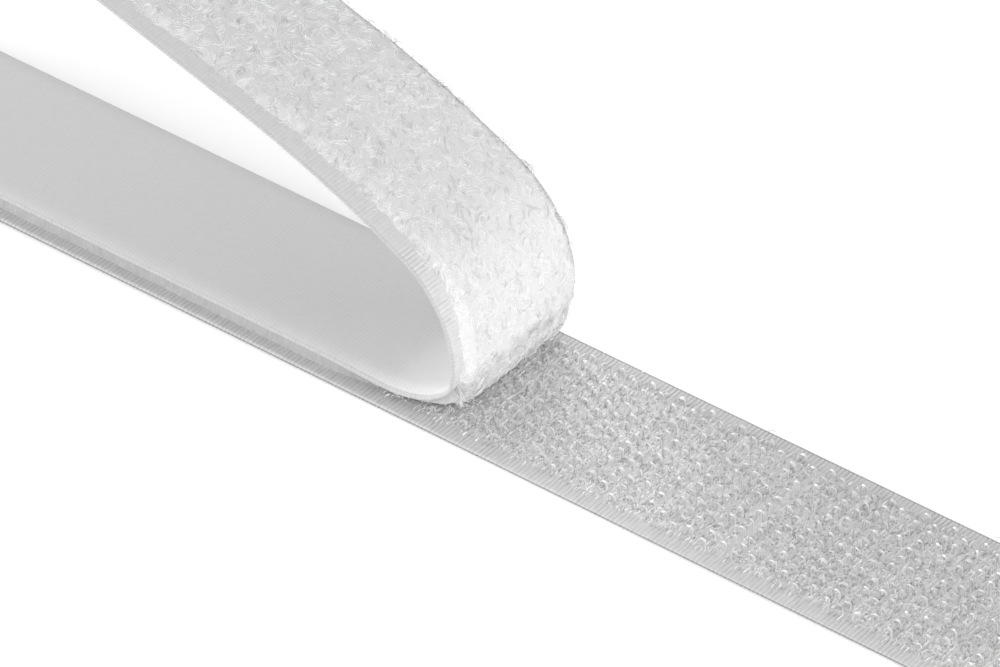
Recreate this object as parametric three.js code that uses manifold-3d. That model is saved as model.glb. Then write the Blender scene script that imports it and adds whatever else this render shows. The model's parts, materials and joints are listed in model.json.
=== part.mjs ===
// A cut length of hook and loop tape, half open: a hook tape lies flat, and a loop tape of the same
// length is pressed on its left part, peels off near the middle and curls back over itself with its
// pile facing up. Millimetres. +X runs along the tape, +Y across it and +Z up, and the origin is under
// the middle of the hook tape.
// The loop tape is flexible, so it is cut into links, each hinged on the smooth back of the one before it.
import * as THREE from "three";
import { mergeVertices } from "three/addons/utils/BufferGeometryUtils.js";
import Module from "manifold-3d";

const wasm = await Module();
wasm.setup();
const MERGE_TOLERANCE = 1e-4;

// Both tapes are cut to one length.
const TAPE_LENGTH = 150;

// Hook tape: a woven web with a shallow channel that holds the ground weave of the hook field.
const HOOK_TAPE_WIDTH = 20;
const HOOK_WEB_THICKNESS = 0.55;
const HOOK_FIELD_WIDTH = 17;
const HOOK_GROUND_THICKNESS = 0.25;
const CHANNEL_CLEARANCE = 0.1;
const HOOK_FIELDS = 4;
const FIELD_GAP = 0.3;

// Hooks: bent strands that stand on the ground weave in rows, which open to the left and right by
// turns. Every second row is set off sideways by a share of the pitch.
const HOOK_HEIGHT = 1.2;
const HOOK_REACH = 0.8;
const HOOK_TIP_DROP = 0.45;
const HOOK_STRAND_RADIUS = 0.19;
const HOOK_STRAND_SIDES = 3;
const HOOK_STRAND_STEPS = 3;
const HOOK_COLUMNS = 6;
const HOOK_ROWS_PER_FIELD = 13;
const HOOK_EDGE_MARGIN = 1.2;
const ROW_STAGGER = 0.5;

// Loop tape: a woven web with bare selvedges and a napped pile, which faces the hooks.
const LOOP_TAPE_WIDTH = 19.1;
const LOOP_WEB_THICKNESS = 0.5;
const LOOP_PILE_WIDTH = 15.7;
const LOOP_PILE_THICKNESS = 0.55;
const LOOP_PILE_EDGE_SLOPE = 0.3;
const PILE_SEAT_GAP = 0.05;
const ENGAGE_CLEARANCE = 0.1;

// Links of the loop tape, from its left end: the last stretch to come off, the bend of the moving
// peel front, and the stretch that is pressed on up to where the curl lifts off.
const HINGE_GAP = 0.3;
const END_LENGTH = 27;
const PEEL_LINK_LENGTH = 5;
const PEEL_LINKS = 2;
const LIFT_OFF_X = -3;

// The curl as arcs of the back surface: the gentle lift-off, the tight bend, the rise and the sweep
// of the tail. Each arc turns by equal steps at its hinges, in degrees.
const LIFT_LENGTH = 8;
const LIFT_HINGE_TURN = 15;
const LIFT_HINGES = 2;
const BEND_LENGTH = 3.3;
const BEND_HINGE_TURN = 19;
const BEND_HINGES = 3;
const RISE_LENGTH = 13.8;
const RISE_HINGE_TURN = 16;
const RISE_HINGES = 4;
const SWEEP_LENGTH = 21.5;
const SWEEP_HINGE_TURN = 6;
const SWEEP_HINGES = 2;

const channelFloor = HOOK_WEB_THICKNESS - HOOK_GROUND_THICKNESS;
const hookTop = HOOK_WEB_THICKNESS + HOOK_HEIGHT;
const loopBackZ = hookTop + ENGAGE_CLEARANCE + LOOP_PILE_THICKNESS + PILE_SEAT_GAP + LOOP_WEB_THICKNESS;

const hookWebMaterial = new THREE.MeshStandardMaterial({ color: 0xcfcfcf, roughness: 0.85, metalness: 0 });
const hookMaterial = new THREE.MeshStandardMaterial({ color: 0xdcdcdc, roughness: 0.35, metalness: 0 });
const loopWebMaterial = new THREE.MeshStandardMaterial({ color: 0xd0d0d0, roughness: 0.8, metalness: 0 });
const loopPileMaterial = new THREE.MeshStandardMaterial({ color: 0xe4e4e4, roughness: 0.9, metalness: 0 });

function namedMesh(name, geometry, material) {
  const mesh = new THREE.Mesh(geometry, material);
  mesh.name = name;
  return mesh;
}

// A closed cross-section in (y, z), swept along +X from startX.
function sweptAlongTape(section, startX, length) {
  const shape = new THREE.Shape(section.map(([y, z]) => new THREE.Vector2(y, z)));
  const geometry = new THREE.ExtrudeGeometry(shape, { depth: length, bevelEnabled: false });
  const toRow = new THREE.Matrix4().makeBasis(
    new THREE.Vector3(0, 1, 0),
    new THREE.Vector3(0, 0, 1),
    new THREE.Vector3(1, 0, 0),
  );
  return geometry.applyMatrix4(toRow).translate(startX, 0, 0);
}

function solidFrom(geometry) {
  const bare = geometry.index ? geometry.toNonIndexed() : geometry.clone();
  bare.deleteAttribute("normal");
  bare.deleteAttribute("uv");
  const merged = mergeVertices(bare, MERGE_TOLERANCE);
  return new wasm.Manifold(
    new wasm.Mesh({
      numProp: 3,
      vertProperties: merged.attributes.position.array,
      triVerts: new Uint32Array(merged.index.array),
    }),
  );
}

function geometryFrom(solid) {
  const mesh = solid.getMesh();
  const geometry = new THREE.BufferGeometry();
  geometry.setAttribute("position", new THREE.BufferAttribute(mesh.vertProperties, 3));
  geometry.setIndex(new THREE.BufferAttribute(mesh.triVerts, 1));
  return geometry;
}

// The web's section has a channel along its middle, and the two bare selvedges stand at its sides.
function hookWebGeometry() {
  const side = HOOK_TAPE_WIDTH / 2;
  const channelSide = HOOK_FIELD_WIDTH / 2 + CHANNEL_CLEARANCE;
  const section = [
    [-side, 0],
    [side, 0],
    [side, HOOK_WEB_THICKNESS],
    [channelSide, HOOK_WEB_THICKNESS],
    [channelSide, channelFloor],
    [-channelSide, channelFloor],
    [-channelSide, HOOK_WEB_THICKNESS],
    [-side, HOOK_WEB_THICKNESS],
  ];
  return sweptAlongTape(section, -TAPE_LENGTH / 2, TAPE_LENGTH);
}

// One hook: a post that bends over into an arch and ends in a free tip. It starts inside the ground weave.
function hookGeometry(x, y, facing) {
  const ground = HOOK_WEB_THICKNESS;
  const crown = hookTop - HOOK_STRAND_RADIUS;
  const point = (along, z) => new THREE.Vector3(x + facing * along, y, z);
  const path = new THREE.CatmullRomCurve3([
    point(0, ground - HOOK_GROUND_THICKNESS / 2),
    point(0, crown - HOOK_REACH / 2),
    point(HOOK_REACH / 2, crown),
    point(HOOK_REACH, crown - HOOK_TIP_DROP),
  ]);
  const corners = [];
  for (let i = 0; i < HOOK_STRAND_SIDES; i++) {
    const angle = (2 * Math.PI * i) / HOOK_STRAND_SIDES;
    const corner = new THREE.Vector2(Math.cos(angle), Math.sin(angle));
    corners.push(corner.multiplyScalar(HOOK_STRAND_RADIUS));
  }
  const section = new THREE.Shape(corners);
  return new THREE.ExtrudeGeometry(section, { steps: HOOK_STRAND_STEPS, extrudePath: path });
}

// A slice of the ground weave with its hooks: neighbouring rows face opposite ways and are set off
// sideways.
function hookFieldGeometry(startX, length) {
  const side = HOOK_FIELD_WIDTH / 2;
  const slice = sweptAlongTape(
    [
      [-side, channelFloor],
      [side, channelFloor],
      [side, HOOK_WEB_THICKNESS],
      [-side, HOOK_WEB_THICKNESS],
    ],
    startX,
    length,
  );
  const rowPitch = length / HOOK_ROWS_PER_FIELD;
  const columnPitch = (HOOK_FIELD_WIDTH - 2 * HOOK_EDGE_MARGIN) / (HOOK_COLUMNS - 1 + ROW_STAGGER);
  const solids = [solidFrom(slice)];
  for (let row = 0; row < HOOK_ROWS_PER_FIELD; row++) {
    const facing = row % 2 ? -1 : 1;
    const rowX = startX + (row + 0.5) * rowPitch - (facing * HOOK_REACH) / 2;
    for (let column = 0; column < HOOK_COLUMNS; column++) {
      const y = -side + HOOK_EDGE_MARGIN + (column + (row % 2) * ROW_STAGGER) * columnPitch;
      solids.push(solidFrom(hookGeometry(rowX, y, facing)));
    }
  }
  return geometryFrom(wasm.Manifold.union(solids));
}

function hookTape() {
  const tape = new THREE.Group();
  tape.add(namedMesh("hook_web", hookWebGeometry(), hookWebMaterial));
  const fieldLength = (TAPE_LENGTH - FIELD_GAP * (HOOK_FIELDS - 1)) / HOOK_FIELDS;
  for (let i = 0; i < HOOK_FIELDS; i++) {
    const startX = -TAPE_LENGTH / 2 + i * (fieldLength + FIELD_GAP);
    tape.add(namedMesh(`hook_field_${i + 1}`, hookFieldGeometry(startX, fieldLength), hookMaterial));
  }
  return tape;
}

// The hinges of one arc, each at the middle of its share: how far along the arc it is, and its turn.
function arcHinges(arcStart, length, turn, count) {
  const hinges = [];
  for (let i = 0; i < count; i++) {
    hinges.push({ at: arcStart + ((i + 0.5) * length) / count, turn });
  }
  return hinges;
}

function curlHinges() {
  const bendStart = LIFT_LENGTH;
  const riseStart = bendStart + BEND_LENGTH;
  const sweepStart = riseStart + RISE_LENGTH;
  return [
    ...arcHinges(0, LIFT_LENGTH, LIFT_HINGE_TURN, LIFT_HINGES),
    ...arcHinges(bendStart, BEND_LENGTH, BEND_HINGE_TURN, BEND_HINGES),
    ...arcHinges(riseStart, RISE_LENGTH, RISE_HINGE_TURN, RISE_HINGES),
    ...arcHinges(sweepStart, SWEEP_LENGTH, SWEEP_HINGE_TURN, SWEEP_HINGES),
  ];
}

// The links in order from the left end: each has a name, its length between hinges and its turn at its
// first hinge.
function loopLinks() {
  const pressedLength = LIFT_OFF_X + TAPE_LENGTH / 2;
  const curl = curlHinges();
  const freeLength = TAPE_LENGTH - pressedLength;
  const links = [{ name: "end", length: END_LENGTH, turn: 0 }];
  for (let i = 0; i < PEEL_LINKS; i++) {
    links.push({ name: `peel_${i + 1}`, length: PEEL_LINK_LENGTH, turn: 0 });
  }
  const beforeStuck = END_LENGTH + PEEL_LINKS * PEEL_LINK_LENGTH;
  links.push({ name: "stuck", length: pressedLength + curl[0].at - beforeStuck, turn: 0 });
  curl.forEach((hinge, i) => {
    const last = i === curl.length - 1;
    const next = last ? freeLength : curl[i + 1].at;
    links.push({ name: last ? "tail" : `curl_${i + 1}`, length: next - hinge.at, turn: hinge.turn });
  });
  return links;
}

// The web and the pile of one link. Its first hinge is at the origin, on the back, and its solids hang
// below.
function addLink(group, link, startGap, endGap) {
  const length = link.length - startGap - endGap;
  const webSide = LOOP_TAPE_WIDTH / 2;
  const web = [
    [-webSide, -LOOP_WEB_THICKNESS],
    [webSide, -LOOP_WEB_THICKNESS],
    [webSide, 0],
    [-webSide, 0],
  ];
  const pileTop = -LOOP_WEB_THICKNESS - PILE_SEAT_GAP;
  const rootSide = LOOP_PILE_WIDTH / 2;
  const faceSide = rootSide - LOOP_PILE_EDGE_SLOPE;
  const pile = [
    [-faceSide, pileTop - LOOP_PILE_THICKNESS],
    [faceSide, pileTop - LOOP_PILE_THICKNESS],
    [rootSide, pileTop],
    [-rootSide, pileTop],
  ];
  group.add(namedMesh(`loop_web_${link.name}`, sweptAlongTape(web, startGap, length), loopWebMaterial));
  group.add(namedMesh(`loop_pile_${link.name}`, sweptAlongTape(pile, startGap, length), loopPileMaterial));
}

function loopTape() {
  const tape = new THREE.Group();
  tape.position.set(-TAPE_LENGTH / 2, 0, loopBackZ);
  const links = loopLinks();
  let carrier = tape;
  links.forEach((link, i) => {
    const group = new THREE.Group();
    if (i > 0) {
      group.position.x = links[i - 1].length;
    }
    group.rotation.y = -THREE.MathUtils.degToRad(link.turn);
    const startGap = i === 0 ? 0 : HINGE_GAP / 2;
    const endGap = i === links.length - 1 ? 0 : HINGE_GAP / 2;
    addLink(group, link, startGap, endGap);
    carrier.add(group);
    carrier = group;
  });
  return tape;
}

const hookAndLoopTape = new THREE.Group();
hookAndLoopTape.add(hookTape());
hookAndLoopTape.add(loopTape());

export default hookAndLoopTape;
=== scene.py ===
"""Hook and loop tape, half peeled open: the visual pieces, their materials, the light and the camera."""

import json
import math

import bpy
import numpy as np
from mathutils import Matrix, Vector


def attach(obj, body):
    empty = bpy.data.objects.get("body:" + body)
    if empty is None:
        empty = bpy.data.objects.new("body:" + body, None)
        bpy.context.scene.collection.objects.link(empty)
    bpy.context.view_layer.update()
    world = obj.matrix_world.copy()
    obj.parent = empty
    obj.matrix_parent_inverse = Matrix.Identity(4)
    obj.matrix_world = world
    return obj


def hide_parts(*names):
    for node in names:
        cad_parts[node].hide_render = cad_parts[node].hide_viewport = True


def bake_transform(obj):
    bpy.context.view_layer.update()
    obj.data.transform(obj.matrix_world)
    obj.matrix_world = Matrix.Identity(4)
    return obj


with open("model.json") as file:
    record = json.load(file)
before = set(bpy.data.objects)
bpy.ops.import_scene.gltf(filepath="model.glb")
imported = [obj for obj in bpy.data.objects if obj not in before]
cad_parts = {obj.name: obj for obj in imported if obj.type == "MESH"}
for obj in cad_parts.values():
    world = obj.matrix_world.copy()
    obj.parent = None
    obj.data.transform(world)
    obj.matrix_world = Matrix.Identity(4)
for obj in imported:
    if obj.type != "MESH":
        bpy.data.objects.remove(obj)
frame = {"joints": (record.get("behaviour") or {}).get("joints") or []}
scene = bpy.context.scene
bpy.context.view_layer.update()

MM = 0.001
TINY = 1e-9

# Sizes, in millimetres. Rib heights go by zone: first face, edges, second face's selvedges, its middle.
TAPE_LENGTH = 150.0
TAPE_LEFT = -75.0
RIB_SAMPLES = 6

HOOK_WIDTH = 20.0
HOOK_THICKNESS = 0.55
HOOK_WEB_PLACES = (9, 11)
HOOK_RIB_PITCH = 0.48
HOOK_RIB_HEIGHTS = (0.0, 0.035, 0.06, 0.02)
HOOK_WARP_PITCH = 0.3
HOOK_SELVEDGE = 2.0
# The near edge is painted dark below this share of the thickness, and the far edge all over: painted shade,
# for the contact shadow at the near edge's foot and the far edge turned from the light.
HOOK_EDGE_SHADE_HEIGHT = 0.8

# Hooks: the bent wire and its cut leg. A row has an offset in its band, a facing and a half-column shift.
HOOK_WIRE = 0.18
WIRE_SIDES = 8
HOOK_POINTS = 13
HOOK_FOOT = 0.3
HOOK_TOP = 1.75
HOOK_ARCH = 0.34
HOOK_TOP_FLATNESS = 0.6
HOOK_WIRE_WIDENING = 1.65
HOOK_WIRE_FLATTENING = 0.6
HOOK_ROLL = 0.55
HOOK_TIP_OUT = 1.02
HOOK_TIP_HEIGHT = 1.16
HOOK_STUB_OUT = (1.1, 1.25, 1.45)
HOOK_STUB_HEIGHT = 1.02
HOOK_COLUMN_PITCH = 1.43
HOOK_COLUMNS = 12
HOOK_BAND_PITCH = 7.2
HOOK_BAND_START = 6.7
HOOK_ROWS = ((0.0, -1, 0), (1.9, -1, 1), (3.6, 1, 0), (5.1, 1, 1))
HOOK_END_MARGIN = 0.6
HOOK_FIELDS = 4
# Spreads of the hooks' random draws.
HOOK_TOP_SPREAD = 0.05
HOOK_ARCH_SPREAD = 0.1
HOOK_TWIST = 0.18
HOOK_LEAN = 0.06
HOOK_TIP_SPREAD = 0.06
HOOK_STUB_SPREAD = 0.08
HOOK_PLACE_SPREAD = (0.05, 0.06)
HOOK_SEED = 21
HOOK_ROLL_SEED = 22

# Ground yarns: most lie across the tape, the others any way, and a few stray over its edge.
STITCH_FIELD = 8.5
STITCH_FIELD_HELD = 7.4
STITCHES_PER_AREA = 11.0
STITCH_RADIUS = 0.045
STITCH_POINTS = 4
YARN_SIDES = 3
# A direction that no wire or yarn sets out in.
ANY_WAY = (0.31, 0.53, 0.79)
STITCH_ACROSS_SHARE = 0.65
STITCH_OTHER_FIELD = 0.92
STITCH_TURN = 0.1
STITCH_ACROSS_LENGTH = (0.3, 0.75)
STITCH_OTHER_LENGTH = (0.2, 0.45)
STITCH_BOW = 0.05
STITCH_RISE = (0.07, 0.16)
STITCH_SINK = 0.05
STITCH_SHADES = (0.4, 0.3, 0.3)
STITCH_SEED = 23
STRAYS = 4
STRAY_HEADING = (0.5, 2.6)
STRAY_LENGTH = (0.8, 1.6)
STRAY_RISE = 0.2

LOOP_WIDTH = 19.1
LOOP_THICKNESS = 0.5
LOOP_WEB_PLACES = (27, 19)
BACK_HEIGHT = 2.95
# The hooks sink into the pile, so the loop tape lies this far from its solids.
LOOP_SETTLE = (-0.51, 0.65, -0.65)
# The bare selvedges sag towards the hook tape: places along the tape, and the sag at each.
SAG_WIDTH = 2.0
SAG_PULL_IN = 0.3
SAG_MOST = 1.2
SAG_PLACES = (66.0, 75.0, 78.0, 82.5)
SAG_NEAR = (0.3, 0.7, 0.7, 0.0)
SAG_FAR = (0.3, 0.2, 0.0, 0.0)
LOOP_RIB_PITCH = 0.43
LOOP_RIB_HEIGHTS = (0.0, 0.02, 0.08, 0.015)
LOOP_WARP_PITCH = 0.33
FLAT_RIB_SHARE = 0.05
RIBS_SPREAD_AT = 0.07
LOOP_PILE_WIDTH = 15.7
LOOP_SELVEDGE = (LOOP_WIDTH - LOOP_PILE_WIDTH) / 2

# A web's section: its rounded rims, and small steps beside them, between its zones and at its ends.
RIM_TURN = 75.0
RIM_PLACES = 6
SELVEDGE_PLACES = 5
EDGE_STEP = 0.08
ZONE_STEP = 0.1
END_STEP = 0.03
# Uneven yarn: how much the rib heights vary, and how far one variation runs along and across the tape.
YARN_UNEVENNESS = 0.6
YARN_RUN = 1.7
YARN_WIDTH = 6.0
YARN_SEED = 11

# The loop tape's back: flat to the lift-off, then arcs of a given length and turn, then straight.
LIFT_OFF = 72.0
ARCS = ((8.0, 30.0), (3.3, 57.0), (13.8, 64.0), (21.5, 12.0))
ARC_SOFTENING = 0.6
STATION_STEP = 0.05

# The links of the loop tape, from the left end, and the hinges between them.
LINKS = ("end", "peel_1", "peel_2", "stuck") + tuple(f"curl_{i}" for i in range(1, 11)) + ("tail",)
HINGE_COUNTS = {"peel_front": 3, "lift_hinge": 2, "bend_hinge": 3, "rise_hinge": 4, "sweep_hinge": 2}
HINGES = [f"{arc}_{i + 1}" for arc, count in HINGE_COUNTS.items() for i in range(count)]
# A share of the way from a span's hinge to its nearer end, which sets two points about the hinge that nothing
# uses.
BEND_SHARE = 0.8
SHORTEST_SHEET = 10.0

# Pile. It leans over the far selvedge, and spreads over the near one where the hooks hold it.
FELT_DEPTH = 0.5
FELT_DEPTH_STUCK = 1.15
FELT_PITCH = 1.0
FELT_PLACES = 91
FELT_INSET = 0.06
FELT_SINK = 0.1
FELT_OVER = 0.04
FELT_UNDER = 0.2
STUCK_UNTIL = 78.0
OPEN_FROM = 85.0
# The felt's colour carries painted shade up to the first of these places, fading to none by the second:
# painted shadow of the gap under the tape's near edge.
FELT_SHADE_UNTIL = 74.0
FELT_SHADE_GONE_FROM = 82.0
# Where the last hooks let the pile go, and over what reach; near its border they draw out less of it.
PEEL_FRONT = 78.3
PEEL_REACH = 3.2
PEEL_NEAR_SHARE = 0.4
PEEL_NEAR_REACH = 3.0
# The pile that the last hooks draw out: its stretch of tape, its reach under the felt, its underside's least
# depth, and its overlap with the next felt.
DRAWN = (72.6, 80.4)
DRAWN_UNDER = 0.3
DRAWN_LEAST_DEPTH = 0.7
DRAWN_OVERLAP = 0.25
PILE_NEAR = -7.9
PILE_FAR = 9.1
PILE_FLOOR = 0.62
# Places along the tape, and the pile's near border at each.
BORDER_PLACES = (66.0, 75.0, 80.0, 83.0, 86.0, 92.0)
BORDER_NEAR = (-9.3, -7.8, -7.6, -8.6, -8.6, PILE_NEAR)
# The near border stands up straight, then eases down to the web: where, and over what width.
FLUSH_UNTIL = 79.0
EASED_FROM = 84.0
RIM_NEAR_FLUSH = 0.3
RIM_NEAR_EASED = 2.0
RIM_FAR = 0.7
FLUSH_CALM = 0.8
# At the near border the held pile is squeezed out over the hook tape's selvedge.
SQUEEZE = 0.9
NEAR_BARE = 1.2
SQUEEZE_REACH = 1.2
SQUEEZE_FADE = (76.0, 82.0)
# Each span's felt laps a little over the next, sinking below it: reach and sink of each step.
FELT_LAP = ((0.08, 0.006), (0.25, 0.06))
# Random hills on the felt and along its borders: size, height and seed of each layer.
NOISE_LATTICE = (512, 128)
NOISE_ORIGIN = (8, 64)
FELT_NOISE = ((0.9, 0.015, 31), (0.37, 0.01, 32), (2.6, 0.02, 36))
NEAR_NOISE = ((0.9, 0.2, 33), (2.5, 0.25, 34))
FAR_NOISE = ((0.9, 0.2, 35),)
FAR_NOISE_AT = 9.0

# Filaments: thickness, curl, and the spreads of the strands in a bundle.
FILAMENT = 0.056
FILAMENT_THICKNESS = (0.8, 1.2)
FILAMENT_POINTS = 12
FILAMENT_SWEEP = (0.8, 2.3)
FILAMENT_TILT = (0.1, 0.7)
FILAMENT_FULLNESS = 0.6
FILAMENT_SINK = 0.015
FILAMENT_SHADES = (0.4, 0.4, 0.2)
LEAST_CURL = 0.12
STRAND_PITCH = 0.19
STRAND_SHIFT = 0.04
STRAND_CURL_SPREAD = 0.03
STRAND_TURN_SPREAD = 0.15
STRAND_SWEEP_SPREAD = 0.12
STRAND_HEIGHT_SPREAD = 0.02
# How far filaments may stand out past the near border, less where it is flush, and past the far edge.
NEAR_OUT = 0.1
NEAR_FLUSH_IN = 0.7
NEAR_GIVE = 0.7
FLUSH_STIFFNESS = 0.62
FAR_GIVE = 0.9
FILAMENT_SEED = 41
FILAMENT_LOOK_SEED = 43
MOST_IN_A_PIECE = 2600
# Kinds of bundle: ranges of the curl's radius, of its height and of the number of strands.
STREWN_KIND = ((0.3, 1.0), (0.0, 0.04), (2, 5))
HELD_KIND = ((0.2, 0.55), (0.05, 0.2), (2, 5))
WEDGE_KIND = ((0.3, 0.8), (0.05, 0.3), (2, 5))
BORDER_TUFT_KIND = ((0.5, 1.0), (0.02, 0.08), (3, 6))
BORDER_KIND = ((0.2, 0.45), (0.02, 0.08), (1, 4))
FAR_LOOP_KIND = ((0.25, 0.5), (0.0, 0.3), (1, 3))
FAR_TUFT_KIND = ((0.35, 0.65), (0.1, 0.5), (1, 4))
CURL_TUFT_KIND = ((0.45, 0.8), (0.1, 0.5), (5, 8))
# How many bundles there are, and where.
OPEN_DENSITY = 3.0
STUCK_DENSITY = 0.5
TUFT_SHARE = 0.1
TUFTS_PER_AREA = 0.25
TUFT_SPREAD = 0.4
TUFT_TALLER = 1.6
HELD_DENSITY = 0.6
HELD_STRIP = 1.0
WEDGE = (72.0, 83.0)
WEDGE_DENSITY = 2.0
BORDER_BUNDLES = 1.2
BORDER_REACH = 0.7
FAR_LOOPS = 2.5
FAR_LOOP_REACH = 0.4
# Tufts: how many, the bundles in each and their spread.
BORDER_TUFTS = (18, 3, 0.5)
BORDER_TUFT_INSET = (0.2, 0.4)
FAR_TUFTS = (14, 4, 0.4)
FAR_TUFT_REACH = 0.3
CURL_TUFT = (80.8, -7.7)
CURL_TUFT_SPREAD = (0.5, 0.3)
CURL_TUFT_BUNDLES = 14

# Looks. A wave texture of scale 1 has bands this far apart.
WAVE_PITCH = math.pi / 10
WARP_SHARE = 0.55
WEAVE_START = 0.35
WEAVE_BUMP = 0.6
FELT_FUZZ = 2.5
FELT_RAMP = (0.3, 0.7)
FELT_BUMP = 0.3
FELT_RELIEF = 0.05
CLOTH_SPECULAR = 0.06

# Floor, lamps and camera, in metres, degrees and watts.
FLOOR_HALF = 2.0
FLOOR_DROP = 0.00002
FLOOR_SHADE = 0.85
FLOOR_GLOW = 0.19
LAMP_AIM = (0, 0, 0.01)
WORLD_STRENGTH = 0.61
CAMERA_AZIMUTH = 38.0
CAMERA_ELEVATION = 38.2
CAMERA_DISTANCE = 0.9
CAMERA_TARGET = Vector((-0.17, 6.52, 0.0)) * MM
CAMERA_LENS = 332.3
CAMERA_CLIP = (0.01, 10.0)


# Helpers.
def eased(t):
    """A smooth step from 0 to 1."""
    return t * t * (3 - 2 * t)


def fade(s, start, end):
    """1 up to the start, then falling evenly to 0 at the end."""
    return np.clip((end - np.asarray(s)) / (end - start), 0, 1)


def unit(v):
    """The vectors of the last axis, made one long."""
    return v / (np.linalg.norm(v, axis=-1, keepdims=True) + TINY)


def soft_noise(s, y, cell, seed):
    """Smooth random values from -1 to 1 over the tape, with hills about one cell across."""
    lattice = np.random.default_rng(seed).uniform(-1, 1, NOISE_LATTICE)
    a = np.asarray(s) / cell + NOISE_ORIGIN[0]
    b = np.asarray(y) / cell + NOISE_ORIGIN[1]
    i = np.floor(a).astype(int)
    j = np.floor(b).astype(int)
    u = eased(a - i)
    v = eased(b - j)
    rows = (i % NOISE_LATTICE[0], (i + 1) % NOISE_LATTICE[0])
    columns = (j % NOISE_LATTICE[1], (j + 1) % NOISE_LATTICE[1])
    near = lattice[rows[0], columns[0]] * (1 - u) + lattice[rows[1], columns[0]] * u
    far = lattice[rows[0], columns[1]] * (1 - u) + lattice[rows[1], columns[1]] * u
    return near * (1 - v) + far * v


def layered_noise(s, y, layers):
    """The sum of several layers of soft noise, each with a size, a height and a seed."""
    return sum(soft_noise(s, y, cell, seed) * height for cell, height, seed in layers)


def cord(s, pitch):
    """Height, 0 to 1, of round ribs that lie side by side along s."""
    across = 2 * np.mod(np.asarray(s) / pitch, 1.0) - 1
    return np.sqrt(np.maximum(0.0, 1 - across * across))


def new_object(name, data):
    """A new object, linked to the scene."""
    made = bpy.data.objects.new(name, data)
    scene.collection.objects.link(made)
    return made


def mesh_object(name, points, faces, flat_faces=(), uv=None, material_of=None, materials=()):
    """A mesh object from points in mm and arrays of faces; flat_faces are shaded flat."""
    mesh = bpy.data.meshes.new(name)
    groups = [*faces, *flat_faces]
    corners = np.concatenate([g.ravel() for g in groups])
    sizes = np.concatenate([np.full(len(g), g.shape[1]) for g in groups])
    starts = np.concatenate([[0], np.cumsum(sizes)[:-1]])
    mesh.vertices.add(len(points))
    mesh.vertices.foreach_set("co", (np.asarray(points) * MM).astype(np.float32).ravel())
    mesh.loops.add(len(corners))
    mesh.loops.foreach_set("vertex_index", corners.astype(np.int32))
    mesh.polygons.add(len(sizes))
    mesh.polygons.foreach_set("loop_start", starts.astype(np.int32))
    smooth = np.ones(len(sizes), bool)
    smooth[len(sizes) - sum(len(g) for g in flat_faces):] = False
    mesh.polygons.foreach_set("use_smooth", smooth)
    for material in materials:
        mesh.materials.append(material)
    if material_of is not None:
        mesh.polygons.foreach_set("material_index", material_of.astype(np.int32))
    if uv is not None:
        layer = mesh.uv_layers.new(name="tape")
        layer.data.foreach_set("uv", np.asarray(uv)[corners].astype(np.float32).ravel())
    mesh.update(calc_edges=True)
    mesh.validate()
    return new_object(name, mesh)


def with_end_steps(rings):
    """The rings with one more close to each end, so that a cap doesn't tilt the normals there."""
    second = rings[:1] + END_STEP * (rings[1:2] - rings[:1])
    last_but_one = rings[-1:] + END_STEP * (rings[-2:-1] - rings[-1:])
    return np.concatenate([rings[:1], second, rings[1:-1], last_but_one, rings[-1:]])


def ring_object(name, rings, uv, materials, kinds=None):
    """A closed skin over rings of points, rings[station][place], with flat caps; kinds pick the materials."""
    rings = with_end_steps(rings)
    uv = with_end_steps(uv)
    stations, places = rings.shape[:2]
    index = np.arange(stations * places).reshape(stations, places)
    turned = np.roll(index, -1, axis=1)
    skin = np.stack([index[:-1], turned[:-1], turned[1:], index[1:]], axis=-1).reshape(-1, 4)
    caps = np.stack([index[0][::-1], index[-1]])
    kinds = np.zeros(places) if kinds is None else kinds
    which = np.concatenate([np.tile(kinds, stations - 1), [max(kinds)] * 2])
    return mesh_object(
        name, rings.reshape(-1, 3), [skin], [caps],
        uv=uv.reshape(-1, 2), material_of=which, materials=materials,
    )


def tube_arrays(paths, radius, sides):
    """Points, side faces and cap faces of round tubes along paths[tube][step]."""
    count, steps = paths.shape[:2]
    along = unit(np.gradient(paths, axis=1))
    side = unit(np.cross(along[:, 0], ANY_WAY))
    angle = 2 * np.pi * np.arange(sides) / sides
    cosine = np.cos(angle)[None, :, None]
    sine = np.sin(angle)[None, :, None]
    radius = np.reshape(radius, (-1, 1, 1))
    rings = np.empty((count, steps, sides, 3))
    for k in range(steps):
        side = unit(side - along[:, k] * np.sum(side * along[:, k], axis=1, keepdims=True))
        other = np.cross(along[:, k], side)
        rings[:, k] = paths[:, k, None] + radius * (cosine * side[:, None] + sine * other[:, None])
    index = np.arange(count * steps * sides).reshape(count, steps, sides)
    turned = np.roll(index, -1, axis=2)
    skin = np.stack([index[:, :-1], turned[:, :-1], turned[:, 1:], index[:, 1:]], axis=-1).reshape(-1, 4)
    caps = np.concatenate([index[:, 0, ::-1], index[:, -1]])
    return rings.reshape(-1, 3), skin, caps


# The loop tape's curve.
def tape_curve():
    """Arc length, X, Z and slope at close stations along the loop tape's back."""
    s = np.arange(0.0, TAPE_LENGTH + STATION_STEP / 2, STATION_STEP)
    bend = np.zeros_like(s)
    start = LIFT_OFF
    for length, turn in ARCS:
        bend[(s >= start) & (s < start + length)] = math.radians(turn) / length
        start += length
    reach = np.arange(-3 * ARC_SOFTENING, 3 * ARC_SOFTENING + STATION_STEP / 2, STATION_STEP)
    weight = np.exp(-0.5 * (reach / ARC_SOFTENING) ** 2)
    bend = np.convolve(bend, weight / weight.sum(), mode="same")
    slope = np.concatenate([[0.0], np.cumsum((bend[1:] + bend[:-1]) / 2) * STATION_STEP])
    middle = (slope[1:] + slope[:-1]) / 2
    x = TAPE_LEFT + np.concatenate([[0.0], np.cumsum(np.cos(middle)) * STATION_STEP])
    z = BACK_HEIGHT + np.concatenate([[0.0], np.cumsum(np.sin(middle)) * STATION_STEP])
    return s, x, z, slope


CURVE_S, CURVE_X, CURVE_Z, CURVE_SLOPE = tape_curve()


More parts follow.
